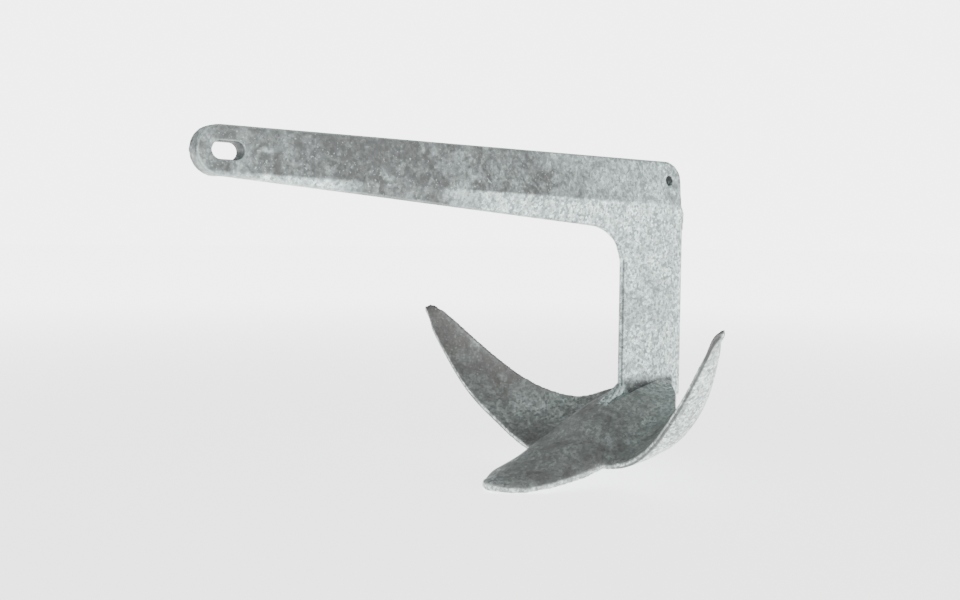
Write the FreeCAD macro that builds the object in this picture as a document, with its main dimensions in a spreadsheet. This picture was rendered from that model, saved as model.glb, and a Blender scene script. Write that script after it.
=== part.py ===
import FreeCAD, Part
import Sketcher
import math
import os

# Claw anchor of the 100 kg class, cast steel, hot-dip galvanised.
#
# Frame of the part: +X runs forward along the arm towards the shackle eye,
# +Y is the anchor's left-hand side seen from behind, +Z is up. The origin is
# the middle of the footprint at the height of the lowest point of the claw.
# Lengths in the tables below are in millimetres from the back corner of the
# shank (station 0) and from the datum line that runs through that corner;
# origin_x and origin_z carry them to the frame of the part.
#
# Pieces: shank (arm, leg and foot in one casting), palm (centre fluke),
# fluke_left and fluke_right (the two side flukes), toe_weld (the fillet that
# ties the front edge of the leg into the palm).

doc = FreeCAD.newDocument("boat_anchor")
V = FreeCAD.Vector

sheet = doc.addObject("Spreadsheet::Sheet", "Sizes")
VALUES = {}
_row = [1]


def put(alias, value):
    cell = "B%d" % _row[0]
    sheet.set("A%d" % _row[0], alias)
    sheet.set(cell, repr(round(float(value), 4)))
    sheet.setAlias(cell, alias)
    VALUES[alias] = round(float(value), 4)
    _row[0] += 1


# ---- datum -----------------------------------------------------------------
put("origin_x", 591.65)
put("origin_z", 571.406)

# ---- shank: side profile ----------------------------------------------------
put("arm_top", 93.0)            # top edge of the arm above the datum line
put("eye_x", 1134.0)            # centre of the eye arc
put("eye_z", 52.7)
put("eye_radius", 40.3)
put("slot_front_x", 1135.0)     # centres of the two ends of the shackle slot
put("slot_back_x", 1107.5)
put("slot_z", 52.7)
put("slot_radius", 13.8)
put("trip_x", 64.5)             # trip-line hole in the back corner
put("trip_z", 50.7)
put("trip_radius", 11.0)
put("arm_low_front_x", 1120.0)  # lower edge of the arm, front end
put("arm_low_front_z", 13.4)
put("arm_low_back_x", 283.0)    # lower edge of the arm, where the inner radius starts
put("arm_low_back_z", -52.0)
put("inner_mid_x", 229.0)       # inner radius between arm and leg
put("inner_mid_z", -76.0)
put("leg_front_top_z", -127.0)
put("leg_front_x", 200.0)
put("leg_back_x", 9.0)
put("lug_back_x", 26.0)         # the corner lug stands forward of the back of the leg
put("lug_low_z", -3.0)
put("lug_step_x", 13.0)
put("lug_step_z", -20.0)
put("leg_back_top_z", -52.0)
put("corner_low_z", 61.0)
put("corner_top_x", 80.0)
put("corner_mid_x", 45.0)
put("corner_mid_z", 84.0)
put("foot_back_z", -428.0)
put("foot_front_x", 235.0)
put("foot_front_top_z", -420.0)
put("foot_front_low_z", -462.0)
put("foot_mid_x", 90.0)
put("foot_mid_low_z", -444.0)

# ---- shank: half thicknesses --------------------------------------------------
put("half_eye", 15.8)
put("ridge_front_z", 18.7)
put("ridge_back_z", -3.5)
put("bevel_front_x", 1078.0)
put("half_ridge_front", 16.5)
put("half_ridge_back", 20.0)
put("half_top_front", 14.6)
put("half_top_back", 12.0)
put("half_low_front", 13.2)
put("half_low_back", 0.5)
put("leg_ridge_x", 93.0)
put("half_leg_front", 7.5)
put("half_leg_back", 9.0)
put("half_foot", 20.0)

# ---- side fluke: table of offsets --------------------------------------------
# distance off the centre plane, front edge x and z, rear edge x and z (both on
# the upper face), belly (how far the lower face stands off the chord), hollow
# (how far the upper face falls below the chord), depth of the front edge band
# and thickness of the rear edge
SIDE = [
    ("a", 20, 350.0, -490.0, 45.0, -390.0, 14.0, -29.0, 8.0, 13.0),
    ("b", 50, 352.0, -497.0, 80.0, -402.0, 15.0, -21.0, 8.0, 13.0),
    ("c", 85, 355.0, -508.0, 115.0, -412.0, 20.0, -3.0, 10.0, 13.0),
    ("d", 106, 360.0, -524.0, 142.0, -421.5, 23.0, 4.0, 13.0, 13.0),
    ("e", 150, 351.7, -515.5, 189.0, -432.5, 30.0, 8.0, 13.0, 14.0),
    ("f", 180, 353.8, -502.0, 217.7, -424.3, 35.0, 11.0, 13.0, 15.0),
    ("g", 215, 360.7, -478.7, 245.7, -407.9, 42.0, 15.0, 13.0, 15.0),
    ("i", 250, 372.3, -451.0, 273.5, -383.0, 51.0, 18.0, 13.0, 15.0),
    ("j", 290, 386.9, -412.0, 300.7, -349.5, 57.0, 19.0, 13.0, 15.0),
    ("k", 330, 397.2, -365.0, 327.5, -312.0, 54.0, 16.0, 13.0, 14.0),
    ("l", 370, 407.0, -309.5, 358.0, -269.5, 40.5, 10.0, 13.0, 13.0),
    ("n", 396, 411.2, -268.0, 382.0, -243.0, 28.0, 5.0, 13.0, 12.0),
    ("o", 408, 411.5, -246.0, 388.5, -235.0, 21.5, 2.0, 13.0, 12.0),
    ("q", 416, 411.0, -239.0, 392.0, -232.5, 17.0, 1.2, 12.5, 11.0),
    ("r", 421, 410.0, -236.5, 395.5, -233.5, 13.0, 0.8, 10.5, 9.5),
]
for (k, off, fx, fz, rx, rz, belly, hollow, ef, er) in SIDE:
    ln = math.hypot(rx - fx, rz - fz)
    nx, nz = (rz - fz) / ln, -(rx - fx) / ln
    if nz > 0:
        nx, nz = -nx, -nz
    mx, mz = (fx + rx) / 2, (fz + rz) / 2
    put("side_%s_off" % k, off)
    for nm, px, pz in (
        ("upf", fx, fz),
        ("upm", mx + nx * hollow, mz + nz * hollow),
        ("upr", rx, rz),
        ("lor", rx + nx * er, rz + nz * er),
        ("lom", mx + nx * belly, mz + nz * belly),
        ("lof", fx - 0.08 * ef, fz - ef),
    ):
        put("side_%s_%s_x" % (k, nm), px)
        put("side_%s_%s_z" % (k, nm), pz)

# ---- palm: table of offsets ---------------------------------------------------
# station, half width of the section, crown height, fall of the upper face at
# the half width, thickness on the centre line, thickness at the edge
PALM = [
    ("a", 225.0, 30.0, -416.5, 4.0, 42.0, 40.0),
    ("b", 262.0, 46.0, -433.0, 12.5, 38.0, 33.0),
    ("c", 300.0, 72.0, -453.0, 20.0, 36.0, 25.0),
    ("d", 335.0, 95.0, -473.0, 33.6, 35.0, 18.0),
    ("e", 364.0, 114.0, -491.0, 39.0, 34.0, 14.0),
    ("f", 395.0, 108.0, -504.0, 37.0, 33.0, 11.0),
    ("g", 430.0, 100.0, -516.5, 32.0, 31.0, 9.0),
    ("i", 464.0, 93.0, -527.0, 27.0, 28.0, 9.0),
    ("j", 496.0, 82.0, -536.5, 21.0, 24.0, 9.0),
    ("k", 523.0, 66.0, -543.5, 19.5, 19.0, 9.0),
    ("l", 548.0, 52.0, -548.0, 17.0, 18.0, 10.0),
    ("n", 580.0, 40.0, -551.5, 13.0, 17.0, 11.0),
]
for (k, st, half, crown, fall, mid, edge) in PALM:
    put("palm_%s_station" % k, st)
    put("palm_%s_half" % k, half)
    put("palm_%s_top" % k, crown)
    put("palm_%s_topedge" % k, crown - fall)
    put("palm_%s_lowedge" % k, crown - fall - edge)
    put("palm_%s_low" % k, crown - mid)
put("palm_root_half", 20.0)
put("through", 3000.0)        # length of the cuts that go right through
put("notch_x", 364.0)
put("notch_half", 106.0)
# free edge of the centre fluke, seen from above
OUTLINE = [
    ("a", 415.0, 95.0),
    ("b", 464.0, 85.2),
    ("c", 508.0, 68.8),
    ("d", 537.0, 47.5),
    ("e", 564.0, 23.0),
]
for (k, ox, oy) in OUTLINE:
    put("edge_%s_x" % k, ox)
    put("edge_%s_half" % k, oy)
put("tip_x", 574.0)

# ---- toe weld -------------------------------------------------------------------
put("toe_top_z", -388.0)
put("toe_front_x", 257.0)
put("toe_half_top", 5.0)
put("toe_half_low", 15.5)

doc.recompute()
OX, OZ = VALUES["origin_x"], VALUES["origin_z"]


def plane(body, role):
    for feature in body.Origin.OriginFeatures:
        if feature.Role == role:
            return feature
    raise RuntimeError(role)


def sketch_xz(body, name):
    """Sketch on the body's XZ plane: sketch X is +X, sketch Y is +Z."""
    sk = body.newObject("Sketcher::SketchObject", name)
    sk.AttachmentSupport = [(plane(body, "XZ_Plane"), "")]
    sk.MapMode = "FlatFace"
    return sk


def sketch_yz(body, name):
    """Sketch on the body's YZ plane: sketch X is +Y, sketch Y is +Z."""
    sk = body.newObject("Sketcher::SketchObject", name)
    sk.AttachmentSupport = [(plane(body, "YZ_Plane"), "")]
    sk.MapMode = "FlatFace"
    return sk


def sketch_xy(body, name):
    sk = body.newObject("Sketcher::SketchObject", name)
    sk.AttachmentSupport = [(plane(body, "XY_Plane"), "")]
    sk.MapMode = "FlatFace"
    return sk


def value(expr):
    """Value of a sum of signed sheet cells, such as '-side_a_off' or 'eye_x-origin_x'."""
    total, sign, word = 0.0, 1.0, ""
    for ch in expr + "+":
        if ch in "+-":
            if word:
                total += sign * (VALUES[word] if word in VALUES else float(word))
            sign = 1.0 if ch == "+" else -1.0
            word = ""
        else:
            word += ch
    return total


def bound(expr):
    """The same sum written as an expression on the sheet."""
    out, word = "", ""
    for ch in expr + "+":
        if ch in "+-":
            if word:
                out += ("Sizes." + word) if word in VALUES else word
            out += ch
            word = ""
        else:
            word += ch
    return out[:-1]


def pin_point(sk, geo, pos, ex, ey):
    """Hold one point of a sketch at a position taken from the sheet."""
    i = sk.addConstraint(Sketcher.Constraint("DistanceX", -1, 1, geo, pos, value(ex)))
    sk.setExpression("Constraints[%d]" % i, bound(ex))
    i = sk.addConstraint(Sketcher.Constraint("DistanceY", -1, 1, geo, pos, value(ey)))
    sk.setExpression("Constraints[%d]" % i, bound(ey))


def loop(sk, corners):
    """Closed loop. Each corner is (x expression, z expression) or, as the middle
    of an arc, (x expression, z expression, 'arc')."""
    n = len(corners)
    pts = [V(value(c[0]), value(c[1]), 0) for c in corners]
    geos, i = [], 0
    start = 0
    while i < n:
        j = (i + 1) % n
        if len(corners[j]) == 3:
            k = (j + 1) % n
            arc = Part.Arc(pts[i], pts[j], pts[k])
            g = sk.addGeometry(arc, False)
            c = arc.toShape().Curve
            mid = sk.addGeometry(Part.Point(pts[j]), True)
            sk.addConstraint(Sketcher.Constraint("PointOnObject", mid, 1, g))
            pin_point(sk, mid, 1, corners[j][0], corners[j][1])
            # which end of the stored arc is the start of this run
            s = sk.getPoint(g, 1)
            first = 1 if (s - pts[i]).Length < (s - pts[k]).Length else 2
            geos.append((g, first, 3 - first, i, k))
            i += 2
        else:
            g = sk.addGeometry(Part.LineSegment(pts[i], pts[j]), False)
            geos.append((g, 1, 2, i, j))
            i += 1
    for a in range(len(geos)):
        ga, gb = geos[a], geos[(a + 1) % len(geos)]
        sk.addConstraint(Sketcher.Constraint("Coincident", ga[0], ga[2], gb[0], gb[1]))
    for g, first, last, ia, ib in geos:
        pin_point(sk, g, first, corners[ia][0], corners[ia][1])


def new_body(name, label):
    b = doc.addObject("PartDesign::Body", name)
    b.Label = label
    return b


def at(ax, az):
    return (ax + "-origin_x", az + "+origin_z")


# =============================================================================
# SHANK
# =============================================================================
# Side profile, padded to the full thickness of the ridge.
profile = new_body("ShankProfile", "shank_profile")
sk = sketch_xz(profile, "ShankOutline")
put("eye_top_z", VALUES["arm_top"])
put("eye_low_x", VALUES["eye_x"] - 9.0)
put("eye_low_z", VALUES["eye_z"] - math.sqrt(VALUES["eye_radius"] ** 2 - 81.0))
put("eye_tip_x", VALUES["eye_x"] + VALUES["eye_radius"])
put("arm_mid_low_x", 791.0)
put("arm_mid_low_z", -12.4)
doc.recompute()
loop(sk, [
    at("eye_x", "eye_top_z"),
    at("corner_top_x", "arm_top"),
    at("corner_mid_x", "corner_mid_z") + ("arc",),
    at("lug_back_x", "corner_low_z"),
    at("lug_back_x", "lug_low_z"),
    at("lug_step_x", "lug_step_z"),
    at("leg_back_x", "leg_back_top_z"),
    at("leg_back_x", "foot_back_z"),
    at("foot_mid_x", "foot_mid_low_z"),
    at("foot_front_x", "foot_front_low_z"),
    at("foot_front_x", "foot_front_top_z"),
    at("leg_front_x", "foot_front_top_z+8.5"),
    at("leg_front_x", "leg_front_top_z"),
    at("inner_mid_x", "inner_mid_z") + ("arc",),
    at("arm_low_back_x", "arm_low_back_z"),
    at("arm_mid_low_x", "arm_mid_low_z"),
    at("eye_low_x", "eye_low_z"),
    at("eye_tip_x", "eye_z") + ("arc",),
])
doc.recompute()
pad = profile.newObject("PartDesign::Pad", "ShankPad")
pad.Profile = sk
pad.Midplane = True
pad.setExpression("Length", "2*Sizes.half_ridge_back")
profile.Tip = pad
doc.recompute()

# Shackle slot and trip-line hole, straight through.
cut = sketch_xz(profile, "HolesOutline")
zc = value("slot_z+origin_z")
sr = VALUES["slot_radius"]
put("slot_low_z", VALUES["slot_z"] - VALUES["slot_radius"])
put("slot_high_z", VALUES["slot_z"] + VALUES["slot_radius"])
put("slot_front_end_x", VALUES["slot_front_x"] + VALUES["slot_radius"])
put("slot_back_end_x", VALUES["slot_back_x"] - VALUES["slot_radius"])
doc.recompute()
loop(cut, [
    at("slot_back_x", "slot_low_z"),
    at("slot_front_x", "slot_low_z"),
    at("slot_front_end_x", "slot_z") + ("arc",),
    at("slot_front_x", "slot_high_z"),
    at("slot_back_x", "slot_high_z"),
    at("slot_back_end_x", "slot_z") + ("arc",),
])
hole = cut.addGeometry(
    Part.Circle(V(value("trip_x-origin_x"), value("trip_z+origin_z"), 0), V(0, 0, 1), VALUES["trip_radius"]), False)
i = cut.addConstraint(Sketcher.Constraint("Radius", hole, VALUES["trip_radius"]))
cut.setExpression("Constraints[%d]" % i, "Sizes.trip_radius")
pin_point(cut, hole, 3, "trip_x-origin_x", "trip_z+origin_z")
doc.recompute()
pocket = profile.newObject("PartDesign::Pocket", "Holes")
pocket.Profile = cut
pocket.Midplane = True
pocket.Type = 1
profile.Tip = pocket
doc.recompute()


def section_body(name, label, role, rows):
    """Loft through closed sections of a piece, each on a plane parallel to one
    origin plane. rows: (sketch name, offset expression, corners)."""
    body = new_body(name, label)
    sketches = []
    for nm, off, corners in rows:
        if role == "XZ":
            s = sketch_xz(body, nm)
            # the plane's normal is -Y
            s.AttachmentOffset = FreeCAD.Placement(V(0, 0, -value(off)), FreeCAD.Rotation())
            s.setExpression("AttachmentOffset.Base.z", "-(" + bound(off) + ")")
        elif role == "YZ":
            s = sketch_yz(body, nm)
            s.AttachmentOffset = FreeCAD.Placement(V(0, 0, value(off)), FreeCAD.Rotation())
            s.setExpression("AttachmentOffset.Base.z", bound(off))
        else:
            s = sketch_xy(body, nm)
            s.AttachmentOffset = FreeCAD.Placement(V(0, 0, value(off)), FreeCAD.Rotation())
            s.setExpression("AttachmentOffset.Base.z", bound(off))
        loop(s, corners)
        sketches.append(s)
    doc.recompute()
    return body, sketches


# Thickness of the arm: a flattened hexagon that grows from the eye to the back
# corner; top and lower edges are thinner than the ridge line between them.
put("slab_top", VALUES["arm_top"] + 3.0)
put("slab_low_front", 7.0)
put("slab_low_back", -110.0)
put("slab_back_x", 0.0)
doc.recompute()
arm, arm_sk = section_body("ArmSlab", "arm_slab", "YZ", [
    ("ArmFront", "bevel_front_x-origin_x", [
        ("half_top_front", "slab_top+origin_z"), ("half_ridge_front", "ridge_front_z+origin_z"),
        ("half_low_front", "slab_low_front+origin_z"), ("-half_low_front", "slab_low_front+origin_z"),
        ("-half_ridge_front", "ridge_front_z+origin_z"), ("-half_top_front", "slab_top+origin_z")]),
    ("ArmBack", "slab_back_x-origin_x", [
        ("half_top_back", "slab_top+origin_z"), ("half_ridge_back", "ridge_back_z+origin_z"),
        ("half_low_back", "slab_low_back+origin_z"), ("-half_low_back", "slab_low_back+origin_z"),
        ("-half_ridge_back", "ridge_back_z+origin_z"), ("-half_top_back", "slab_top+origin_z")]),
])
loft = arm.newObject("PartDesign::AdditiveLoft", "ArmLoft")
loft.Profile = arm_sk[0]
loft.Sections = arm_sk[1:]
loft.Ruled = True
arm.Tip = loft
doc.recompute()

# Thickness of the eye: flat plate.
eye = doc.addObject("Part::Box", "EyeSlab")
eye.Label = "eye_slab"
eye.setExpression("Length", "Sizes.eye_tip_x-Sizes.bevel_front_x+20")
eye.setExpression("Width", "2*Sizes.half_eye")
eye.setExpression("Height", "Sizes.slab_top+40")
eye.setExpression("Placement.Base.x", "Sizes.bevel_front_x-Sizes.origin_x-4")
eye.setExpression("Placement.Base.y", "-Sizes.half_eye")
eye.setExpression("Placement.Base.z", "Sizes.origin_z-20")

# Thickness of the leg: hexagon with its ridge near the back, below the ridge
# line of the arm, running down into the foot.
put("leg_slab_front", VALUES["leg_front_x"] + 50.0)
put("leg_slab_back", 0.0)
put("half_leg_front_out", 0.4)
put("half_leg_back_out", 7.7)
put("leg_slab_low", -405.0)
put("leg_slab_high", -2.0)
doc.recompute()
leg = new_body("LegSlab", "leg_slab")
s = sketch_xy(leg, "LegSection")
s.AttachmentOffset = FreeCAD.Placement(V(0, 0, value("foot_back_z+origin_z-20")), FreeCAD.Rotation())
s.setExpression("AttachmentOffset.Base.z", bound("foot_back_z+origin_z-20"))
loop(s, [
    ("leg_slab_front-origin_x", "half_leg_front_out"), ("leg_ridge_x-origin_x", "half_ridge_back"),
    ("leg_slab_back-origin_x", "half_leg_back_out"), ("leg_slab_back-origin_x", "-half_leg_back_out"),
    ("leg_ridge_x-origin_x", "-half_ridge_back"), ("leg_slab_front-origin_x", "-half_leg_front_out"),
])
lp = leg.newObject("PartDesign::Pad", "LegPad")
lp.Profile = s
lp.setExpression("Length", "Sizes.leg_slab_high-Sizes.foot_back_z+20")
leg.Tip = lp
doc.recompute()

# Foot: the full-thickness block the flukes meet, behind and below the leg.
put("foot_rear_top_z", -390.0)
put("foot_x_a", 45.0)
put("foot_x_b", 92.0)
put("foot_z_b", -389.5)
put("foot_x_c", 155.0)
put("foot_z_c", -398.6)
doc.recompute()
foot = new_body("FootSlab", "foot_slab")
s = sketch_xz(foot, "FootOutline")
loop(s, [
    at("foot_x_a", "foot_rear_top_z"), at("foot_x_b", "foot_z_b"), at("foot_x_c", "foot_z_c"),
    at("leg_front_x", "foot_front_top_z+8.5"), at("foot_front_x+1", "foot_front_top_z"),
    at("foot_front_x+1", "foot_front_low_z-20"), at("foot_x_a", "foot_front_low_z-20"),
])
fp = foot.newObject("PartDesign::Pad", "FootPad")
fp.Profile = s
fp.Midplane = True
fp.setExpression("Length", "2*Sizes.half_foot")
foot.Tip = fp
doc.recompute()

slabs = doc.addObject("Part::MultiFuse", "Slabs")
slabs.Shapes = [arm, eye, leg, foot]
doc.recompute()
shank = doc.addObject("Part::MultiCommon", "Shank")
shank.Shapes = [profile, slabs]
shank.Refine = True
shank.Label = "shank"
doc.recompute()


# =============================================================================
# SIDE FLUKES
# =============================================================================
def side_fluke(name, label, sign):
    rows = []
    for row in SIDE:
        k = row[0]
        p = "side_%s_" % k
        off = (p + "off") if sign > 0 else ("-" + p + "off")
        corners = [
            at(p + "upf_x", p + "upf_z"),
            at(p + "upm_x", p + "upm_z") + ("arc",),
            at(p + "upr_x", p + "upr_z"),
            at(p + "lor_x", p + "lor_z"),
            at(p + "lom_x", p + "lom_z") + ("arc",),
            at(p + "lof_x", p + "lof_z"),
        ]
        rows.append((name + "Section_" + k, off, corners))
    body, sks = section_body(name, label, "XZ", rows)
    ft = body.newObject("PartDesign::AdditiveLoft", name + "Loft")
    ft.Profile = sks[0]
    ft.Sections = sks[1:]
    body.Tip = ft
    doc.recompute()
    # the crease: a vertical plane from the foot to the notch, where the palm starts
    s = sketch_xy(body, name + "Crease")
    sg = "" if sign > 0 else "-"
    loop(s, [
        ("foot_front_x-origin_x", sg + "palm_root_half"),
        ("notch_x-origin_x", sg + "notch_half"),
        ("notch_x-origin_x+60", sg + "notch_half"),
        ("notch_x-origin_x+60", sg + "palm_root_half" + ("-30" if sign > 0 else "+30")),
        ("foot_front_x-origin_x", sg + "palm_root_half" + ("-30" if sign > 0 else "+30")),
    ])
    pk = body.newObject("PartDesign::Pocket", name + "CreaseCut")
    pk.Profile = s
    pk.Midplane = True
    pk.setExpression("Length", "Sizes.through")
    body.Tip = pk
    doc.recompute()
    return body


fluke_left = side_fluke("FlukeLeft", "fluke_left", 1)
fluke_right = side_fluke("FlukeRight", "fluke_right", -1)

# =============================================================================
# PALM
# =============================================================================
rows = []
for row in PALM:
    p = "palm_%s_" % row[0]
    rows.append(("PalmSection_" + row[0], p + "station-origin_x", [
        (p + "half", p + "topedge+origin_z"),
        ("0", p + "top+origin_z", "arc"),
        ("-" + p + "half", p + "topedge+origin_z"),
        ("-" + p + "half", p + "lowedge+origin_z"),
        ("0", p + "low+origin_z", "arc"),
        (p + "half", p + "lowedge+origin_z"),
    ]))
palm, palm_sk = section_body("Palm", "palm", "YZ", rows)
ft = palm.newObject("PartDesign::AdditiveLoft", "PalmLoft")
ft.Profile = palm_sk[0]
ft.Sections = palm_sk[1:]
palm.Tip = ft
doc.recompute()
s = sketch_xy(palm, "PalmOutline")
inner = []
for sg in ("", "-"):
    side = [("foot_front_x-origin_x", sg + "palm_root_half"), ("notch_x-origin_x", sg + "notch_half")]
    for (k, ox, oy) in OUTLINE:
        mid = ("arc",) if k in ("a", "c", "e") else ()
        side.append(("edge_%s_x-origin_x" % k, sg + "edge_%s_half" % k) + mid)
    inner += side + [("tip_x-origin_x", "0")] if sg == "" else side[::-1]
loop(s, inner)
put("blank_back_x", 190.0)
put("blank_front_x", 640.0)
put("blank_half", 200.0)
doc.recompute()
loop(s, [
    ("blank_back_x-origin_x", "blank_half"), ("blank_front_x-origin_x", "blank_half"),
    ("blank_front_x-origin_x", "-blank_half"), ("blank_back_x-origin_x", "-blank_half"),
])
pk = palm.newObject("PartDesign::Pocket", "PalmTrim")
pk.Profile = s
pk.Midplane = True
pk.setExpression("Length", "Sizes.through")
palm.Tip = pk
doc.recompute()

# =============================================================================
# TOE WELD
# =============================================================================
toe_raw = new_body("ToeRaw", "toe_raw")
s = sketch_xz(toe_raw, "ToeOutline")
put("toe_back_x", VALUES["leg_front_x"] - 4.0)
put("toe_mid_x", 223.0)
put("toe_mid_z", -407.0)
put("toe_front_z", -429.5)
put("toe_low_z", -450.0)
doc.recompute()
loop(s, [
    at("toe_back_x", "toe_top_z"),
    at("leg_front_x+1", "toe_top_z"),
    at("toe_mid_x", "toe_mid_z") + ("arc",),
    at("toe_front_x", "toe_front_z"),
    at("toe_front_x", "toe_low_z"),
    at("toe_back_x", "toe_low_z"),
])
tp = toe_raw.newObject("PartDesign::Pad", "ToePad")
tp.Profile = s
tp.Midplane = True
tp.setExpression("Length", "2*Sizes.toe_half_low")
toe_raw.Tip = tp
doc.recompute()
# flanks: steep tent that narrows to the top of the leg's front edge
flank = new_body("ToeFlank", "toe_flank")
s = sketch_yz(flank, "ToeFlankOutline")
s.AttachmentOffset = FreeCAD.Placement(V(0, 0, value("toe_back_x-origin_x-5")), FreeCAD.Rotation())
s.setExpression("AttachmentOffset.Base.z", bound("toe_back_x-origin_x-5"))
loop(s, [
    ("toe_half_top", "toe_top_z+origin_z+1"), ("toe_half_low", "toe_front_z+origin_z-2"),
    ("toe_half_low", "toe_low_z+origin_z-1"), ("-toe_half_low", "toe_low_z+origin_z-1"),
    ("-toe_half_low", "toe_front_z+origin_z-2"), ("-toe_half_top", "toe_top_z+origin_z+1"),
])
tp = flank.newObject("PartDesign::Pad", "ToeFlankPad")
tp.Profile = s
tp.setExpression("Length", "Sizes.toe_front_x-Sizes.toe_back_x+10")
flank.Tip = tp
doc.recompute()
toe_shape = doc.addObject("Part::MultiCommon", "ToeShape")
toe_shape.Shapes = [toe_raw, flank]
doc.recompute()
toe_tools = doc.addObject("Part::MultiFuse", "ToeTools")
toe_tools.Shapes = [shank, palm]
doc.recompute()
toe = doc.addObject("Part::Cut", "ToeWeld")
toe.Base = toe_shape
toe.Tool = toe_tools
toe.Label = "toe_weld"
doc.recompute()

# =============================================================================
# CHECK AND EXPORT
# =============================================================================
for obj in doc.Objects:
    bad = [st for st in obj.State if st in ("Invalid", "Error")]
    if bad:
        raise RuntimeError("%s: %s" % (obj.Name, bad))

os.makedirs("parts", exist_ok=True)
box = None
for obj in (shank, palm, fluke_left, fluke_right, toe):
    shape = obj.Shape
    if shape.isNull() or not shape.isValid():
        raise RuntimeError("%s has no valid shape" % obj.Label)
    if len(shape.Solids) != 1:
        print(obj.Label, "solids", len(shape.Solids), [round(x.Volume) for x in shape.Solids])
    b = shape.BoundBox
    print("%-12s vol %.3f l  x %.1f..%.1f y %.1f..%.1f z %.1f..%.1f faces %d" % (
        obj.Label, shape.Volume / 1e6, b.XMin, b.XMax, b.YMin, b.YMax, b.ZMin, b.ZMax, len(shape.Faces)))
    if box is None:
        box = FreeCAD.BoundBox(b)
    else:
        box.add(b)
    shape.exportStep("parts/%s.step" % obj.Label)
print("all x %.2f..%.2f y %.2f..%.2f z %.2f..%.2f" % (box.XMin, box.XMax, box.YMin, box.YMax, box.ZMin, box.ZMax))
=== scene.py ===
import bpy, bmesh, json, math
from mathutils import Matrix, Vector


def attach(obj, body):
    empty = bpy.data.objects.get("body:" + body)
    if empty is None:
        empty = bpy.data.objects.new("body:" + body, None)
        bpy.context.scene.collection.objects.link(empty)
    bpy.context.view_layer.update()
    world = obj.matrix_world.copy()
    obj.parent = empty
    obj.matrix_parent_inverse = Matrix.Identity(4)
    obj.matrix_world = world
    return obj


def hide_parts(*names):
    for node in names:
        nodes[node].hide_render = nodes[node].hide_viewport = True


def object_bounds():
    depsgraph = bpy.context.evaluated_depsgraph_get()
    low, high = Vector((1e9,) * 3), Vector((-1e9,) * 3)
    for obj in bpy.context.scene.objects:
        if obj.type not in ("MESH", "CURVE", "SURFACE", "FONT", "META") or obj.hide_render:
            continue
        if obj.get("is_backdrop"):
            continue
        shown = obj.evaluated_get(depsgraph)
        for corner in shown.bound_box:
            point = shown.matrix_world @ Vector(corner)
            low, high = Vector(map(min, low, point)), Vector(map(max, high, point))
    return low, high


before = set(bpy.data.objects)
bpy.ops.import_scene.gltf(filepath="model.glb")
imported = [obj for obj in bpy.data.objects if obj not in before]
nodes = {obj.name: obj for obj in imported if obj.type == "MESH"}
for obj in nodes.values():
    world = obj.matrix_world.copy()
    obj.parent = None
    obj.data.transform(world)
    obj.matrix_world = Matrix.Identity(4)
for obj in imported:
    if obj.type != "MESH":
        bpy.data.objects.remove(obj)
_lo, _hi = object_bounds()
SIZES = {"cad": [list(_lo), list(_hi)]}
scene = bpy.context.scene
col = scene.collection

# row frame of the tables: station 0 and the datum line in metres
OX, OZ = 0.59165, 0.571406
VOXEL = 0.0026


# ---------------------------------------------------------------------------
# one casting, then parted where its pieces meet
# ---------------------------------------------------------------------------
def copy_mesh(name):
    o = bpy.data.objects.new(name + "_raw", nodes[name].data.copy())
    col.objects.link(o)
    bm = bmesh.new()
    bm.from_mesh(o.data)
    bmesh.ops.remove_doubles(bm, verts=bm.verts, dist=1e-6)
    bm.to_mesh(o.data)
    bm.free()
    return o


def join(objs, name):
    bm = bmesh.new()
    for o in objs:
        bm.from_mesh(o.data)
    me = bpy.data.meshes.new(name)
    bm.to_mesh(me)
    bm.free()
    for o in objs:
        bpy.data.objects.remove(o)
    out = bpy.data.objects.new(name, me)
    col.objects.link(out)
    return out


def apply_modifiers(o):
    dg = bpy.context.evaluated_depsgraph_get()
    me = bpy.data.meshes.new_from_object(o.evaluated_get(dg))
    o.modifiers.clear()
    o.data = me


whole = join([copy_mesh(n) for n in ("shank", "palm", "fluke_left", "fluke_right")], "casting")
m = whole.modifiers.new("remesh", "REMESH")
m.mode = "VOXEL"
m.voxel_size = VOXEL
m.adaptivity = 0.0
m.use_smooth_shade = True
m = whole.modifiers.new("soften", "SMOOTH")
m.factor = 0.5
m.iterations = 4
apply_modifiers(whole)


def P(x, y, z):
    return Vector((x / 1000 - OX, y / 1000, z / 1000 + OZ))


# more rounding at the fluke tips, the nose of the palm and the crease ends
soft = whole.vertex_groups.new(name="soft")
SPOTS = [(P(572, 0, -556), 0.050, 0.6)]
for s in (1, -1):
    SPOTS += [(P(366, 106 * s, -530), 0.036, 1.0), (P(402, 421 * s, -236), 0.026, 0.2), (P(235, 22 * s, -425), 0.03, 0.8),
              (P(48, 20 * s, -395), 0.016, 0.6)]
for v in whole.data.vertices:
    w = 0.0
    for c, rad, k in SPOTS:
        d = (v.co - c).length
        if d < rad:
            w = max(w, k * min(1.0, 2.0 * (1.0 - d / rad)))
    # fillet between the sides of the leg and the top of the claw
    st, h, ay = (v.co.x + OX) * 1000, (v.co.z - OZ) * 1000, abs(v.co.y) * 1000
    seam = -389.0 - max(0.0, st - 92.0) * 0.155
    if 52 < st < 222 and abs(h - seam) < 16 and 4 < ay < 34:
        w = max(w, 0.85 * min(1.0, 2.0 * (1.0 - abs(h - seam) / 16)) * min(1.0, (st - 52) / 12) * min(1.0, (222 - st) / 12))
    if w > 0.01:
        soft.add([v.index], w, "REPLACE")
m = whole.modifiers.new("soften2", "SMOOTH")
m.vertex_group = "soft"
m.factor = 0.5
m.iterations = 40
apply_modifiers(whole)


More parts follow.
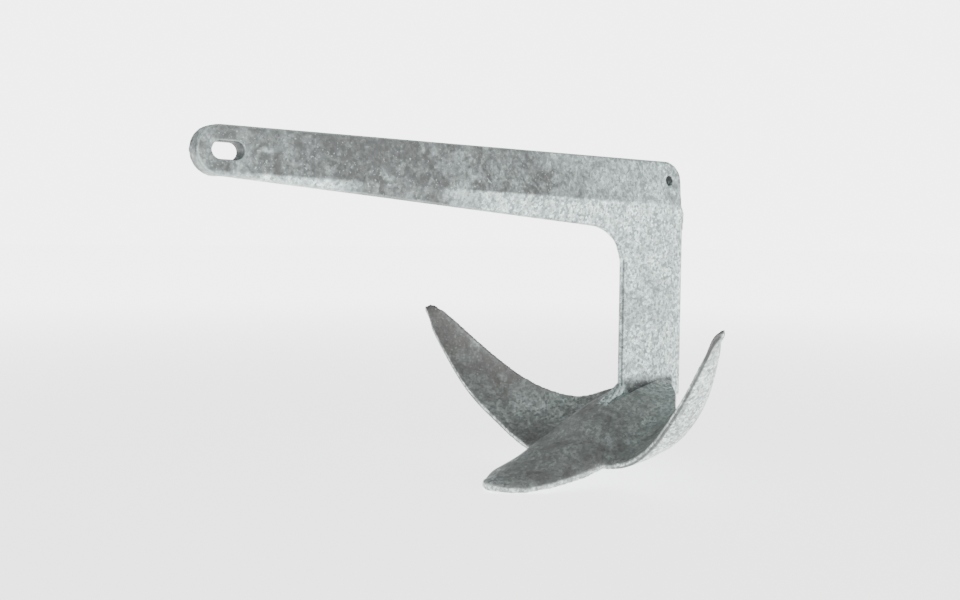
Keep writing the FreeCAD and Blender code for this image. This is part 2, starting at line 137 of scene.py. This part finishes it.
def slice_off(bm, co, no, fill):
    """Cut bm down to the side of the plane that no points to."""
    geom = bm.verts[:] + bm.edges[:] + bm.faces[:]
    r = bmesh.ops.bisect_plane(bm, geom=geom, dist=1e-7, plane_co=co, plane_no=no, clear_inner=True, clear_outer=False)
    if not fill:
        return
    rim = [e for e in r["geom_cut"] if isinstance(e, bmesh.types.BMEdge) and e.is_valid and len(e.link_faces) == 1]
    if rim:
        f = bmesh.ops.triangle_fill(bm, edges=rim, use_beauty=False, use_dissolve=False)
        for g in f["geom"]:
            if isinstance(g, bmesh.types.BMFace):
                g.smooth = False


def settle(bm, name):
    """Keep the largest island, set the hard edges and make the object."""
    seen, best = set(), []
    for v in bm.verts:
        if v in seen:
            continue
        stack, isl = [v], []
        seen.add(v)
        while stack:
            w = stack.pop()
            isl.append(w)
            for e in w.link_edges:
                u = e.other_vert(w)
                if u not in seen:
                    seen.add(u)
                    stack.append(u)
        if len(isl) > len(best):
            best = isl
    drop = set(bm.verts) - set(best)
    if drop:
        bmesh.ops.delete(bm, geom=list(drop), context="VERTS")
    bmesh.ops.recalc_face_normals(bm, faces=bm.faces)
    for e in bm.edges:
        e.smooth = not (len(e.link_faces) == 2 and e.link_faces[0].smooth != e.link_faces[1].smooth)
    print("piece", name, len(bm.faces), "open edges", sum(1 for e in bm.edges if len(e.link_faces) != 2))
    me = bpy.data.meshes.new(name)
    bm.to_mesh(me)
    bm.free()
    o = bpy.data.objects.new(name, me)
    col.objects.link(o)
    return o


def part_off(name, keep):
    """Copy of the casting cut down to the side of each plane that keep gives as
    (point on the plane, normal that points to the material kept)."""
    bm = bmesh.new()
    bm.from_mesh(whole.data)
    for co, no in keep:
        slice_off(bm, co, no, True)
    return settle(bm, name)


SEAM = 20.6         # just outside the sides of the foot block
crease = math.hypot(129.0, 86.0)
cx, cy = 129.0 / crease, 86.0 / crease      # direction of the crease in plan
left_of = Vector((-cy, cx, 0))              # towards the left fluke
right_of = Vector((-cy, -cx, 0))
palm = part_off("palm_casting", [
    (P(235, 0, 0), Vector((1, 0, 0))), (P(0, 0, -300), Vector((0, 0, -1))),
    (P(235, SEAM, 0), -left_of), (P(235, -SEAM, 0), -right_of)])
fl = part_off("fluke_left_casting", [(P(0, SEAM, 0), Vector((0, 1, 0))), (P(235, SEAM, 0), left_of)])
fr = part_off("fluke_right_casting", [(P(0, -SEAM, 0), Vector((0, -1, 0))), (P(235, -SEAM, 0), right_of)])


def shank_piece():
    """The slab between the flukes, less the strip that belongs to the palm."""
    z = -340.0
    top = bmesh.new()
    top.from_mesh(whole.data)
    slice_off(top, P(0, SEAM, 0), Vector((0, -1, 0)), True)
    slice_off(top, P(0, -SEAM, 0), Vector((0, 1, 0)), True)
    low = top.copy()
    slice_off(low, P(235, 0, 0), Vector((-1, 0, 0)), True)
    slice_off(top, P(0, 0, z), Vector((0, 0, 1)), False)
    slice_off(low, P(0, 0, z), Vector((0, 0, -1)), False)
    me = bpy.data.meshes.new("low")
    low.to_mesh(me)
    low.free()
    top.from_mesh(me)
    rim = [v for v in top.verts if abs(v.co.z - (z / 1000 + OZ)) < 2e-5]
    bmesh.ops.remove_doubles(top, verts=rim, dist=2e-6)
    return settle(top, "shank_casting")


shank = shank_piece()
bpy.data.objects.remove(whole)

ARRIS = [(20, 349.4, -498), (50, 351.4, -505), (85, 354.2, -518), (106, 359, -537), (150, 350.7, -528.5), (180, 352.8, -515), (215, 359.7, -491.7),
         (250, 371.3, -464), (290, 385.9, -425), (330, 396.2, -378), (370, 406, -322.5), (396, 410.2, -281), (408, 410.5, -259), (416, 410, -251.5), (421, 409.2, -247)]


toe = copy_mesh("toe_weld")
toe.name = "toe_bead"
m = toe.modifiers.new("remesh", "REMESH")
m.mode = "VOXEL"
m.voxel_size = 0.0012
m.use_smooth_shade = True
m = toe.modifiers.new("soften", "SMOOTH")
m.factor = 0.5
m.iterations = 5
apply_modifiers(toe)


# ---------------------------------------------------------------------------
# hot-dip galvanised steel
# ---------------------------------------------------------------------------
class Tree:
    def __init__(self, name):
        self.mat = bpy.data.materials.new(name)
        self.mat.use_nodes = True
        self.t = self.mat.node_tree
        self.n = self.t.nodes
        self.n.clear()
        self.out = self.n.new("ShaderNodeOutputMaterial")
        self.bsdf = self.n.new("ShaderNodeBsdfPrincipled")
        self.t.links.new(self.bsdf.outputs[0], self.out.inputs[0])

    def link(self, a, b):
        self.t.links.new(a, b)

    def new(self, kind, **kw):
        x = self.n.new(kind)
        for k, v in kw.items():
            setattr(x, k, v)
        return x

    def put(self, node, **kw):
        for k, v in kw.items():
            node.inputs[k.replace("_", " ")].default_value = v
        return node

    def math(self, op, a, b=None, clamp=False):
        x = self.new("ShaderNodeMath", operation=op, use_clamp=clamp)
        for i, v in enumerate((a, b)):
            if v is None:
                continue
            if isinstance(v, (int, float)):
                x.inputs[i].default_value = v
            else:
                self.link(v, x.inputs[i])
        return x.outputs[0]

    def noise(self, vec, scale, detail=4.0, rough=0.55, dist=0.0):
        x = self.new("ShaderNodeTexNoise")
        self.put(x, Scale=scale, Detail=detail, Roughness=rough, Distortion=dist)
        self.link(vec, x.inputs["Vector"])
        return x.outputs["Fac"]

    def ramp(self, fac, stops):
        x = self.new("ShaderNodeValToRGB")
        r = x.color_ramp
        while len(r.elements) < len(stops):
            r.elements.new(0.5)
        for e, (p, c) in zip(r.elements, stops):
            e.position = p
            e.color = (c, c, c, 1) if isinstance(c, float) else (*c, 1)
        self.link(fac, x.inputs[0])
        return x.outputs[0]

    def mix(self, fac, a, b, blend="MIX"):
        x = self.new("ShaderNodeMix", data_type="RGBA", blend_type=blend)
        for sock, v in ((x.inputs[0], fac), (x.inputs[6], a), (x.inputs[7], b)):
            if isinstance(v, (int, float)):
                sock.default_value = v
            elif isinstance(v, tuple):
                sock.default_value = (*v, 1)
            else:
                self.link(v, sock)
        return x.outputs[2]

    def span(self, v, lo, hi, a=0.0, b=1.0):
        x = self.new("ShaderNodeMapRange", clamp=True, interpolation_type="SMOOTHSTEP")
        self.link(v, x.inputs[0])
        for i, q in zip((1, 2, 3, 4), (lo, hi, a, b)):
            x.inputs[i].default_value = q
        return x.outputs[0]


def galvanised(name, light, dark, tone, shade_and_marks=None, edge=1.0, calm=0.62):
    """light is clean zinc and dark the dull patina, which also serves as painted shade and painted reflection.
    tone(tree, x, y, z, normal) gives how much dark a place carries before clouds are laid over it: patina, and on the
    arm's upper face and the claw's upward faces a painted reflection of the dark sky. shade_and_marks lays painted
    shade in the trip hole and the slot and a darker line down the front of the leg."""
    T = Tree(name)
    tc = T.new("ShaderNodeTexCoord")
    vec = tc.outputs["Object"]
    sep = T.new("ShaderNodeSeparateXYZ")
    T.link(vec, sep.inputs[0])
    geo = T.new("ShaderNodeNewGeometry")
    nse = T.new("ShaderNodeSeparateXYZ")
    T.link(tc.outputs["Normal"], nse.inputs[0])
    x, y, z = sep.outputs
    clouds = T.noise(vec, 8.0, 4.0, 0.55, 0.5)
    blotch = T.noise(vec, 27.0, 3.0, 0.5, 1.1)
    fine = T.noise(vec, 120.0, 3.0, 0.6)
    a = T.math("MULTIPLY", T.math("SUBTRACT", clouds, 0.5), 0.8)
    b = T.math("MULTIPLY", T.math("SUBTRACT", blotch, 0.5), 1.15)
    c = T.math("MULTIPLY", T.math("SUBTRACT", fine, 0.5), 0.45)
    wob = T.math("ADD", T.math("MULTIPLY", a, 0.020), T.math("MULTIPLY", b, 0.012))   # metres, for ragged borders
    base = tone(T, x, y, z, nse.outputs, wob)
    pat = T.math("ADD", T.math("ADD", base, a), T.math("ADD", b, c), clamp=True)
    colour = T.mix(pat, light, dark)
    # faint brown and green stains on the patina
    brown = T.span(T.noise(vec, 17.0, 3.0, 0.5, 0.6), 0.5, 0.7)
    colour = T.mix(T.math("MULTIPLY", brown, T.math("MULTIPLY", pat, 0.26)), colour, tuple(q * k for q, k in zip(dark, (0.92, 0.80, 0.76))))
    # spangle: small crystals of uneven brightness
    vor = T.new("ShaderNodeTexVoronoi", feature="F1")
    T.put(vor, Scale=175.0, Randomness=1.0)
    T.link(vec, vor.inputs["Vector"])
    bw = T.new("ShaderNodeRGBToBW")
    T.link(vor.outputs["Color"], bw.inputs[0])
    gain = T.span(bw.outputs[0], 0.15, 0.85, 0.50, 1.50)
    g2 = T.noise(vec, 300.0, 2.0, 0.7)
    gain2 = T.span(g2, 0.3, 0.7, 0.62, 1.38)
    g3 = T.noise(vec, 90.0, 3.0, 0.6, 0.4)
    gain3 = T.span(g3, 0.3, 0.7, 0.78, 1.22)
    both = T.math("MULTIPLY", T.math("MULTIPLY", gain, gain2), gain3)
    tint = T.new("ShaderNodeCombineColor")
    for i in range(3):
        T.link(both, tint.inputs[i])
    colour = T.mix(T.math("SUBTRACT", 1.0, T.math("MULTIPLY", pat, calm), clamp=True), colour, tint.outputs[0], "MULTIPLY")
    # bright specks where the zinc shows clean
    sp = T.noise(vec, 210.0, 2.0, 0.5)
    speck = T.span(sp, 0.64, 0.72)
    colour = T.mix(T.math("MULTIPLY", speck, 0.5), colour, tuple(min(1.0, v * 1.15) for v in light))
    # convex edges near the top of the arm are lighter, partly wear and partly a painted highlight; other convex edges
    # are darker; inside corners and creases get painted shade
    pt = geo.outputs["Pointiness"]
    arris = T.span(pt, 0.512, 0.555)
    rub_and_highlight = T.math("MULTIPLY", T.span(z, OZ - 0.05, OZ - 0.02), edge) if edge > 0 else 0.0
    if edge > 0:
        colour = T.mix(T.math("MULTIPLY", arris, T.math("MULTIPLY", rub_and_highlight, 0.55)), colour, tuple(min(1.0, v * 1.1) for v in light))
        dull = T.math("MULTIPLY", T.math("SUBTRACT", 1.0, rub_and_highlight), 0.5)
    else:
        dull = 0.1 if name == "galvanised_weld" else 0.42
    colour = T.mix(T.math("MULTIPLY", arris, dull), colour, (0.10, 0.105, 0.102))
    # painted shade in inside corners and creases
    colour = T.mix(T.span(pt, 0.485, 0.43, 0.0, 0.7), colour, (0.06, 0.062, 0.06))
    if name.startswith("galvanised_fluke"):
        ay = T.math("ABSOLUTE", y)
        ax = T.math("SUBTRACT", T.math("ADD", x, OX), curve(T, ay, [(q[0] / 1000, q[1] / 1000) for q in ARRIS]))
        az = T.math("SUBTRACT", z, curve(T, ay, [(q[0] / 1000, q[2] / 1000 + OZ) for q in ARRIS]))
        ad = T.math("SQRT", T.math("ADD", T.math("MULTIPLY", ax, ax), T.math("MULTIPLY", az, az)))
        line = T.math("MULTIPLY", T.span(ad, 0.0062, 0.0028, 0.0, 0.85), T.span(ay, 0.105, 0.150))
        colour = T.mix(line, colour, (0.05, 0.053, 0.052))
    # painted shade in the trip hole and slot, and a darker line down the front of the leg
    if shade_and_marks is not None:
        colour = T.mix(shade_and_marks(T, x, y, z), colour, (0.035, 0.036, 0.036))
    T.link(colour, T.bsdf.inputs["Base Color"])
    T.bsdf.inputs["Metallic"].default_value = 0.5
    rough = T.math("ADD", T.math("MULTIPLY", pat, 0.14), T.span(g2, 0.2, 0.8, 0.38, 0.56))
    T.link(rough, T.bsdf.inputs["Roughness"])
    hgt = T.math("ADD", T.math("MULTIPLY", T.noise(vec, 120.0, 4.0, 0.6), 1.0), T.math("MULTIPLY", vor.outputs["Distance"], 0.35))
    hgt = T.math("ADD", hgt, T.math("MULTIPLY", T.noise(vec, 28.0, 2.0, 0.5), 1.6))
    bump = T.new("ShaderNodeBump")
    T.put(bump, Strength=0.34, Distance=0.0011)
    T.link(hgt, bump.inputs["Height"])
    T.link(bump.outputs[0], T.bsdf.inputs["Normal"])
    return T.mat


def curve(T, v, pts):
    """Smooth piecewise curve of v through the points given as (v, value)."""
    lo, hi = pts[0][0], pts[-1][0]
    r = T.new("ShaderNodeMapRange", clamp=True)
    T.link(v, r.inputs[0])
    r.inputs[1].default_value = lo
    r.inputs[2].default_value = hi
    return T.ramp(r.outputs[0], [((p - lo) / (hi - lo), float(q)) for p, q in pts])


def shank_tone(T, x, y, z, n, wob):
    st = T.math("ADD", x, OX)                                # station along the arm
    # upper face of the arm, above its ridge line, painted darker as a reflection of the dark sky
    ridge = T.math("SUBTRACT", T.math("ADD", -0.0035 + OZ, T.math("MULTIPLY", st, 0.0206)), z)
    above = T.span(ridge, -0.0025, 0.0035, 1.0, 0.0)
    up = T.math("MULTIPLY", above, curve(T, T.math("ADD", st, T.math("MULTIPLY", wob, 2.0)),
                [(0.0, 0.22), (0.13, 0.24), (0.24, 0.42), (0.40, 0.66), (0.58, 0.90), (0.85, 0.96), (1.05, 0.80), (1.18, 0.66)]))
    up = T.math("MULTIPLY", up, T.span(n[2], 0.35, 0.75, 1.0, 0.12))      # painted highlight on the upward facing top edge
    # bevel below the ridge: bright near the eye and near the corner, dull between
    below = T.math("SUBTRACT", 1.0, above)
    armz = T.span(z, OZ - 0.100, OZ - 0.075)
    bev = T.math("MULTIPLY", T.math("MULTIPLY", below, armz),
                 curve(T, st, [(0.0, 0.02), (0.50, 0.0), (0.60, 0.16), (0.70, 0.84), (0.86, 0.80), (0.96, 0.12), (1.06, 0.10), (1.12, 0.35), (1.18, 0.4)]))
    # foot: a painted shadow darkens the sides of the leg just above the claw, and upward faces there get painted shade
    low = T.math("ADD", z, wob)
    foot_shadow = T.math("MULTIPLY", T.span(low, OZ - 0.372, OZ - 0.392, 0.0, 0.80), T.span(st, 0.205, 0.185, 0.0, 1.0))
    foot_shadow = T.math("MULTIPLY", foot_shadow, T.span(st, 0.030, 0.050))
    top_shade = T.math("MULTIPLY", T.math("MULTIPLY", T.span(n[2], 0.2, 0.5), T.span(z, OZ - 0.380, OZ - 0.395)), 0.55)
    foot_shadow = T.math("MAXIMUM", foot_shadow, top_shade)
    # a slightly lighter strip behind the ridge of the leg, a painted highlight
    strip_highlight = T.math("MULTIPLY", T.span(st, 0.096, 0.088, 0.05, -0.03), T.span(z, OZ - 0.05, OZ - 0.2))
    return T.math("ADD", T.math("ADD", up, bev), T.math("ADD", T.math("ADD", foot_shadow, strip_highlight), 0.06))


def shank_shade_and_marks(T, x, y, z):
    def near(cx, cz, half, rad):
        dx = T.math("MAXIMUM", T.math("SUBTRACT", T.math("ABSOLUTE", T.math("SUBTRACT", x, cx)), half), 0.0)
        dz = T.math("SUBTRACT", z, cz)
        d = T.math("SQRT", T.math("ADD", T.math("MULTIPLY", dx, dx), T.math("MULTIPLY", dz, dz)))
        return T.span(d, rad + 0.0022, rad - 0.0005)
    # arris down the front of the leg
    ex = T.math("SUBTRACT", x, 0.1985 - OX)
    ey = T.math("SUBTRACT", T.math("ABSOLUTE", y), 0.0058)
    ed = T.math("SQRT", T.math("ADD", T.math("MULTIPLY", ex, ex), T.math("MULTIPLY", ey, ey)))
    leg = T.math("MULTIPLY", T.span(ed, 0.0034, 0.0010, 0.0, 0.62), T.span(z, OZ - 0.112, OZ - 0.130))
    # painted shade inside the trip hole and the slot, darker deeper in and towards the top of the hole
    inward = T.span(T.math("ABSOLUTE", y), 0.0185, 0.0120, 0.25, 1.0)
    shade = T.span(z, 0.0507 + OZ - 0.006, 0.0507 + OZ + 0.003, 0.35, 0.92)
    hole = T.math("MULTIPLY", T.math("MULTIPLY", near(0.0645 - OX, 0.0507 + OZ, 0.0, 0.011), shade), inward)
    slot = T.math("MULTIPLY", T.math("MULTIPLY", near(1.12125 - OX, 0.0527 + OZ, 0.01375, 0.0138), 0.72), inward)
    return T.math("MAXIMUM", T.math("MAXIMUM", hole, slot), leg)


def claw_tone(low, high, valley_shade, near=False):
    def tone(T, x, y, z, n, wob):
        # upward faces painted darker as a reflection of the dark sky, undersides and edge bands left light
        up = T.span(n[2], 0.08, 0.34, 0.0, 1.0)
        # distance out from the crease between palm and fluke, in plan
        ay = T.math("ABSOLUTE", y)
        out = T.math("SUBTRACT", T.math("MULTIPLY", T.math("SUBTRACT", ay, 0.020), 0.83), T.math("MULTIPLY", T.math("SUBTRACT", x, 0.235 - OX), 0.555))
        out = T.math("ADD", out, T.math("MULTIPLY", wob, 1.2))
        # painted shade in the valley beside the crease between palm and fluke
        valley_shade_mask = T.math("MULTIPLY", T.span(out, -0.012, 0.030), T.span(out, 0.120, 0.045))
        valley_shade_mask = T.math("MULTIPLY", valley_shade_mask, T.span(x, 0.20 - OX, 0.30 - OX))
        nose = T.span(x, 0.47 - OX, 0.56 - OX, 0.0, -0.14)
        rise = T.span(z, OZ - 0.47, OZ - 0.36, low, high)
        t = T.math("ADD", T.math("ADD", rise, nose), T.math("MULTIPLY", valley_shade_mask, valley_shade))
        if near:
            # cleaner behind, beside the leg, and dull on the front band at the tip
            t = T.math("SUBTRACT", t, T.math("MULTIPLY", T.span(x, 0.20 - OX, 0.10 - OX), T.span(y, 0.14, 0.07, 0.0, 0.34)))
            tip = T.math("MULTIPLY", T.span(n[0], 0.15, 0.45), T.span(T.math("ADD", z, wob), OZ - 0.300, OZ - 0.262, 0.0, 0.95))
            return T.math("ADD", T.math("MAXIMUM", T.math("MULTIPLY", up, t), tip), 0.05)
        return T.math("ADD", T.math("MULTIPLY", up, t), 0.05)
    return tone


# ARM and DARK are the dull patina, and are also laid as painted shade and painted reflection
LIGHT = (0.425, 0.520, 0.503)
ARM = (0.086, 0.092, 0.090)
DARK = (0.152, 0.152, 0.147)
CLAW = (0.425, 0.490, 0.472)
mat_shank = galvanised("galvanised_shank", LIGHT, ARM, shank_tone, shank_shade_and_marks)
mat_palm = galvanised("galvanised_palm", CLAW, DARK, claw_tone(0.60, 0.60, 0.08), edge=0.0, calm=0.95)
mat_left = galvanised("galvanised_fluke_left", CLAW, DARK, claw_tone(0.50, 0.60, 0.1, True), edge=0.0, calm=0.95)
mat_right = galvanised("galvanised_fluke_right", CLAW, DARK, claw_tone(0.45, 0.98, 0.34), edge=0.0, calm=0.78)
# upward faces of the weld bead carry a little more dark, painted shade
mat_toe = galvanised("galvanised_weld", LIGHT, DARK, lambda T, x, y, z, n, w: T.span(n[2], 0.0, 1.0, 0.10, 0.16), edge=0.0)

for o, mt, node, slot in ((shank, mat_shank, "shank", "shank"), (palm, mat_palm, "palm", "palm"), (fl, mat_left, "fluke_left", "fluke_left"),
                          (fr, mat_right, "fluke_right", "fluke_right"), (toe, mat_toe, "toe_weld", "toe_weld")):
    o.data.materials.clear()
    o.data.materials.append(mt)
    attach(o, "root")
    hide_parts(node)

# ---------------------------------------------------------------------------
# floor, light, camera
# ---------------------------------------------------------------------------
me = bpy.data.meshes.new("floor")
S = 60.0
me.from_pydata([(-S, -S, 0), (S, -S, 0), (S, S, 0), (-S, S, 0)], [], [(0, 1, 2, 3)])
floor = bpy.data.objects.new("floor", me)
col.objects.link(floor)
fm = bpy.data.materials.new("pale_floor")
fm.use_nodes = True
nt = fm.node_tree
nt.nodes.clear()
out = nt.nodes.new("ShaderNodeOutputMaterial")
add = nt.nodes.new("ShaderNodeAddShader")
dif = nt.nodes.new("ShaderNodeBsdfDiffuse")
dif.inputs[0].default_value = (0.86, 0.87, 0.87, 1)
emi = nt.nodes.new("ShaderNodeEmission")
emi.inputs[0].default_value = (1.0, 1.0, 1.0, 1)
ftc = nt.nodes.new("ShaderNodeTexCoord")
fln = nt.nodes.new("ShaderNodeVectorMath")
fln.operation = "LENGTH"
fmr = nt.nodes.new("ShaderNodeMapRange")
fmr.interpolation_type = "SMOOTHSTEP"
for i, q in zip((1, 2, 3, 4), (0.6, 7.0, 2.6, 4.4)):
    fmr.inputs[i].default_value = q
nt.links.new(ftc.outputs["Object"], fln.inputs[0])
nt.links.new(fln.outputs["Value"], fmr.inputs[0])
nt.links.new(fmr.outputs[0], emi.inputs[1])
nt.links.new(dif.outputs[0], add.inputs[0])
nt.links.new(emi.outputs[0], add.inputs[1])
nt.links.new(add.outputs[0], out.inputs[0])
floor.data.materials.append(fm)
floor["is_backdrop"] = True

world = bpy.data.worlds.new("studio")
scene.world = world
world.use_nodes = True
wt = world.node_tree
wt.nodes.clear()
wo = wt.nodes.new("ShaderNodeOutputWorld")
bg = wt.nodes.new("ShaderNodeBackground")
bgc = wt.nodes.new("ShaderNodeBackground")
lp = wt.nodes.new("ShaderNodeLightPath")
mx = wt.nodes.new("ShaderNodeMixShader")
wtc = wt.nodes.new("ShaderNodeTexCoord")
wsep = wt.nodes.new("ShaderNodeSeparateXYZ")
wr = wt.nodes.new("ShaderNodeValToRGB")
r = wr.color_ramp
r.elements[0].position = 0.0
r.elements[0].color = (2.0, 2.0, 2.0, 1)
r.elements[1].position = 1.0
r.elements[1].color = (0.34, 0.345, 0.35, 1)
for p, c in ((0.5, 1.6), (0.56, 0.95), (0.75, 0.50)):
    e = r.elements.new(p)
    e.color = (c, c, c * 1.02, 1)
mr = wt.nodes.new("ShaderNodeMapRange")
mr.inputs[1].default_value = -1
mr.inputs[2].default_value = 1
wt.links.new(wtc.outputs["Generated"], wsep.inputs[0])
wt.links.new(wsep.outputs[2], mr.inputs[0])
wt.links.new(mr.outputs[0], wr.inputs[0])
wt.links.new(wr.outputs[0], bg.inputs[0])
bg.inputs[1].default_value = 1.0
bgc.inputs[0].default_value = (1, 1, 1, 1)
bgc.inputs[1].default_value = 5.0
wt.links.new(lp.outputs["Is Camera Ray"], mx.inputs[0])
wt.links.new(bg.outputs[0], mx.inputs[1])
wt.links.new(bgc.outputs[0], mx.inputs[2])
wt.links.new(mx.outputs[0], wo.inputs[0])


def area(name, loc, target, size, power, colour=(1, 1, 1)):
    d = bpy.data.lights.new(name, "AREA")
    d.shape = "RECTANGLE"
    d.size, d.size_y = size
    d.energy = power
    d.color = colour
    o = bpy.data.objects.new(name, d)
    col.objects.link(o)
    o.location = loc
    o.rotation_euler = (Vector(target) - Vector(loc)).to_track_quat("-Z", "Y").to_euler()
    return o


area("key_side", (-0.6, 3.2, 0.9), (0.0, 0, 0.35), (2.4, 1.2), 42)
area("front_low", (3.0, 1.2, 0.5), (0.0, 0, 0.25), (1.6, 0.9), 16)

cam = bpy.data.cameras.new("camera")
cam.sensor_fit = "HORIZONTAL"
cam.sensor_width = 36.0
cam.lens = 39.375
cam.clip_start = 0.05
cam.clip_end = 300
cob = bpy.data.objects.new("camera", cam)
col.objects.link(cob)
right = Vector((-0.766358, 0.64234332, 0.00951201))
up = Vector((-0.02926029, -0.04969312, 0.99833583))
fwd = Vector((-0.64174703, -0.76480433, -0.05687787))
mw = Matrix((right, up, -fwd)).transposed().to_4x4()
mw.translation = Vector((1.28686501, 1.53047609, 0.48774174))
cob.matrix_world = mw
scene.camera = cob

_lo, _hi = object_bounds()
SIZES["visual"] = [list(_lo), list(_hi)]
